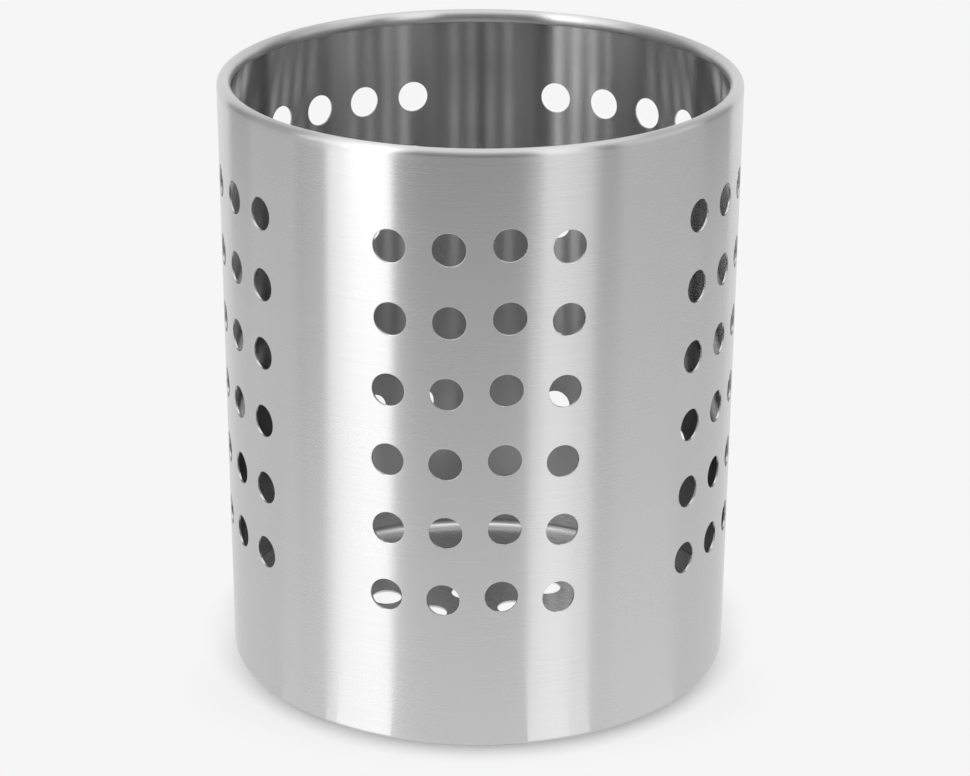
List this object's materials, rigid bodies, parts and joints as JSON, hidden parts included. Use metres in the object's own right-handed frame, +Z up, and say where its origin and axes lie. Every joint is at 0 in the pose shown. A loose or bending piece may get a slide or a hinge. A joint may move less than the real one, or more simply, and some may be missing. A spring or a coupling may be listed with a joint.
{
  "type": "cutlery holder",
  "caption": "Upright round cup of perforated brushed stainless steel with a curled rim and a drained base, for draining and storing cutlery.",
  "frame": {"origin": "on the cup's axis, in the plane that it stands on", "axes": "+Z up along the cup's axis, -Y through the middle of the front group of holes, +X to the right of a viewer who faces that group"},
  "size_m": [0.12, 0.12, 0.141],
  "materials": {
    "brushed_wall": "brushed round the wall",
    "satin_base": "satin, as pressed",
    "dressed_weld": "ground weld"
  },
  "bodies": {
    "root": {"wall_shell": "brushed_wall", "seam_weld": "dressed_weld", "base_pan": "satin_base", "foot_weld": "dressed_weld"}
  },
  "joints": []
}
